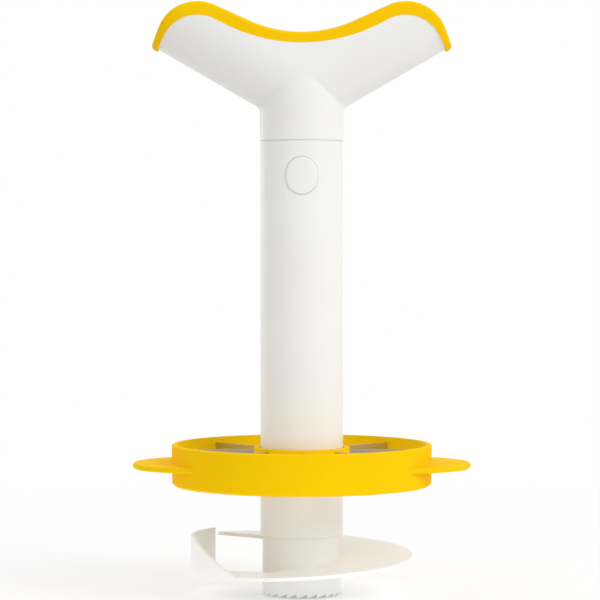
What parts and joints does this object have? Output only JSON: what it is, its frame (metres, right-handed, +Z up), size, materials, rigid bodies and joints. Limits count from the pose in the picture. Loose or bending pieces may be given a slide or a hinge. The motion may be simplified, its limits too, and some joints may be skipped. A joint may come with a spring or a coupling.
{
  "type": "pineapple slicer",
  "caption": "Hand fruit corer and slicer: a toothed tube with a helical blade and rim knife, a two-armed handle that lifts off by side buttons, and a sliding wedger ring with finger ears.",
  "frame": {"origin": "on the tube's axis at the tips of the coring teeth, which is the middle of the object's base", "axes": "+Z up along the tube, +X along the handle's arms to the right of the picture, -Y towards the camera"},
  "size_m": [0.1356, 0.1044, 0.2364],
  "materials": {
    "white_abs": "smooth moulded white plastic with a soft gloss",
    "white_inner": "plain moulded plastic, hidden inside the handle",
    "yellow_abs": "smooth moulded yellow plastic",
    "yellow_grip": "soft moulded grip with a satin surface",
    "blade_steel": "ground stainless strip",
    "screw_steel": "plated screw",
    "spring_steel": "tempered leaf"
  },
  "bodies": {
    "corer": {"corer": "white_abs"},
    "wedger": {"wedger_ring": "yellow_abs", "wedger_hub": "yellow_abs", "wedger_blade_1": "blade_steel", "wedger_blade_2": "blade_steel", "wedger_blade_3": "blade_steel", "wedger_blade_4": "blade_steel", "wedger_blade_5": "blade_steel", "wedger_blade_6": "blade_steel", "wedger_blade_7": "blade_steel", "wedger_blade_8": "blade_steel"},
    "handle": {"handle_shell": "white_abs", "grip_insert": "white_inner", "grip_pad": "yellow_grip", "latch_plug": "white_inner", "right_screw": "screw_steel", "left_screw": "screw_steel", "latch_spring": "spring_steel"},
    "front_button": {"front_button": "white_abs"},
    "rear_button": {"rear_button": "white_abs"}
  },
  "joints": [
    {"name": "wedger_slide", "type": "slide", "parent": "corer", "child": "wedger", "axis": [0, 0, 1], "range_m": [-0.0212, 0.134]},
    {"name": "handle_lift", "type": "slide", "parent": "corer", "child": "handle", "axis": [0, 0, 1], "range_m": [0, 0.15]},
    {"name": "front_button_press", "type": "slide", "parent": "handle", "child": "front_button", "axis": [0, 1, 0], "range_m": [0, 0.0034], "stiffness_N_per_m": 900, "springref_m": -0.002, "deforming": ["latch_spring"]},
    {"name": "rear_button_press", "type": "slide", "parent": "handle", "child": "rear_button", "axis": [0, -1, 0], "range_m": [0, 0.0034], "stiffness_N_per_m": 900, "springref_m": -0.002, "deforming": ["latch_spring"]}
  ]
}
